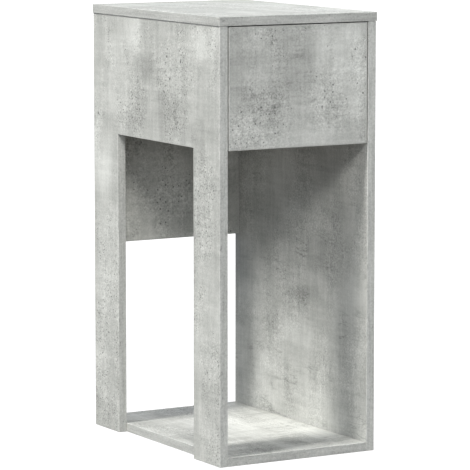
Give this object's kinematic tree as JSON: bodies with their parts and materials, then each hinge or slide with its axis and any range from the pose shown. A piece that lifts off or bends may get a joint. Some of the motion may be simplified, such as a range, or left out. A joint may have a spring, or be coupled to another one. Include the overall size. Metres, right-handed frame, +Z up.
{
  "type": "side table with drawer",
  "caption": "Narrow concrete-look board side table: one board-fronted drawer on roller runners, an open bay below, a cut-out left side and a floor-level shelf.",
  "frame": {"origin": "on the floor under the middle of the top panel", "axes": "+Z up, +Y to the back, the drawer front faces -Y, +X to the right of someone facing the drawer, so the side with the cut-out is at -X"},
  "size_m": [0.3, 0.44, 0.735],
  "materials": {
    "concrete_melamine": "matte concrete-effect melamine on particle board",
    "drawer_box_melamine": "plain light grey matte melamine on particle board",
    "hardboard": "painted hardboard",
    "coated_steel": "white powder coating",
    "zinc_steel": "bright zinc plating",
    "cast_zinc": "as-cast zinc alloy",
    "nylon": "white nylon",
    "beech": "fluted raw beech"
  },
  "bodies": {
    "carcass": {"back_bolt_left": "zinc_steel", "back_bolt_right": "zinc_steel", "back_cam_left": "cast_zinc", "back_cam_right": "cast_zinc", "back_dowel_left": "beech", "back_dowel_right": "beech", "back_panel": "concrete_melamine", "bottom_shelf": "concrete_melamine", "left_cabinet_roller_pin": "zinc_steel", "left_cabinet_runner": "coated_steel", "left_cabinet_runner_screw_front": "zinc_steel", "left_cabinet_runner_screw_rear": "zinc_steel", "left_side_panel": "concrete_melamine", "right_cabinet_roller_pin": "zinc_steel", "right_cabinet_runner": "coated_steel", "right_cabinet_runner_screw_front": "zinc_steel", "right_cabinet_runner_screw_rear": "zinc_steel", "right_side_panel": "concrete_melamine", "shelf_bolt_left_front": "zinc_steel", "shelf_bolt_left_rear": "zinc_steel", "shelf_bolt_right_front": "zinc_steel", "shelf_bolt_right_rear": "zinc_steel", "shelf_cam_left_front": "cast_zinc", "shelf_cam_left_rear": "cast_zinc", "shelf_cam_right_front": "cast_zinc", "shelf_cam_right_rear": "cast_zinc", "top_bolt_left_front": "zinc_steel", "top_bolt_left_rear": "zinc_steel", "top_bolt_right_front": "zinc_steel", "top_bolt_right_rear": "zinc_steel", "top_cam_left_front": "cast_zinc", "top_cam_left_rear": "cast_zinc", "top_cam_right_front": "cast_zinc", "top_cam_right_rear": "cast_zinc", "top_dowel_left_front": "beech", "top_dowel_left_rear": "beech", "top_dowel_right_front": "beech", "top_dowel_right_rear": "beech", "top_panel": "concrete_melamine"},
    "drawer": {"drawer_back": "drawer_box_melamine", "drawer_back_screw_left": "zinc_steel", "drawer_back_screw_right": "zinc_steel", "drawer_bolt_left": "zinc_steel", "drawer_bolt_right": "zinc_steel", "drawer_bottom": "hardboard", "drawer_cam_left": "cast_zinc", "drawer_cam_right": "cast_zinc", "drawer_front": "concrete_melamine", "drawer_left_side": "drawer_box_melamine", "drawer_right_side": "drawer_box_melamine", "left_drawer_roller_pin": "zinc_steel", "left_drawer_runner": "coated_steel", "left_drawer_runner_screw": "zinc_steel", "right_drawer_roller_pin": "zinc_steel", "right_drawer_runner": "coated_steel", "right_drawer_runner_screw": "zinc_steel"},
    "left_cabinet_roller": {"left_cabinet_roller": "nylon"},
    "left_drawer_roller": {"left_drawer_roller": "nylon"},
    "right_cabinet_roller": {"right_cabinet_roller": "nylon"},
    "right_drawer_roller": {"right_drawer_roller": "nylon"}
  },
  "joints": [
    {"name": "drawer_slide", "type": "slide", "parent": "carcass", "child": "drawer", "axis": [0, -1, 0], "range_m": [0, 0.3]},
    {"name": "left_cabinet_roller_spin", "type": "hinge", "parent": "carcass", "child": "left_cabinet_roller", "pos_m": [-0.1285, -0.19, 0.5404], "axis": [1, 0, 0], "range_deg": [0, 2150]},
    {"name": "left_drawer_roller_spin", "type": "hinge", "parent": "drawer", "child": "left_drawer_roller", "pos_m": [-0.1269, 0.184, 0.5402], "axis": [1, 0, 0], "range_deg": [0, 2150]},
    {"name": "right_cabinet_roller_spin", "type": "hinge", "parent": "carcass", "child": "right_cabinet_roller", "pos_m": [0.1285, -0.19, 0.5404], "axis": [1, 0, 0], "range_deg": [0, 2150]},
    {"name": "right_drawer_roller_spin", "type": "hinge", "parent": "drawer", "child": "right_drawer_roller", "pos_m": [0.1269, 0.184, 0.5402], "axis": [1, 0, 0], "range_deg": [0, 2150]}
  ],
  "couplings": [
    {"joint": "left_cabinet_roller_spin", "follows": "drawer_slide", "rad_per_m": 125},
    {"joint": "left_drawer_roller_spin", "follows": "drawer_slide", "rad_per_m": 125},
    {"joint": "right_cabinet_roller_spin", "follows": "drawer_slide", "rad_per_m": 125},
    {"joint": "right_drawer_roller_spin", "follows": "drawer_slide", "rad_per_m": 125}
  ]
}
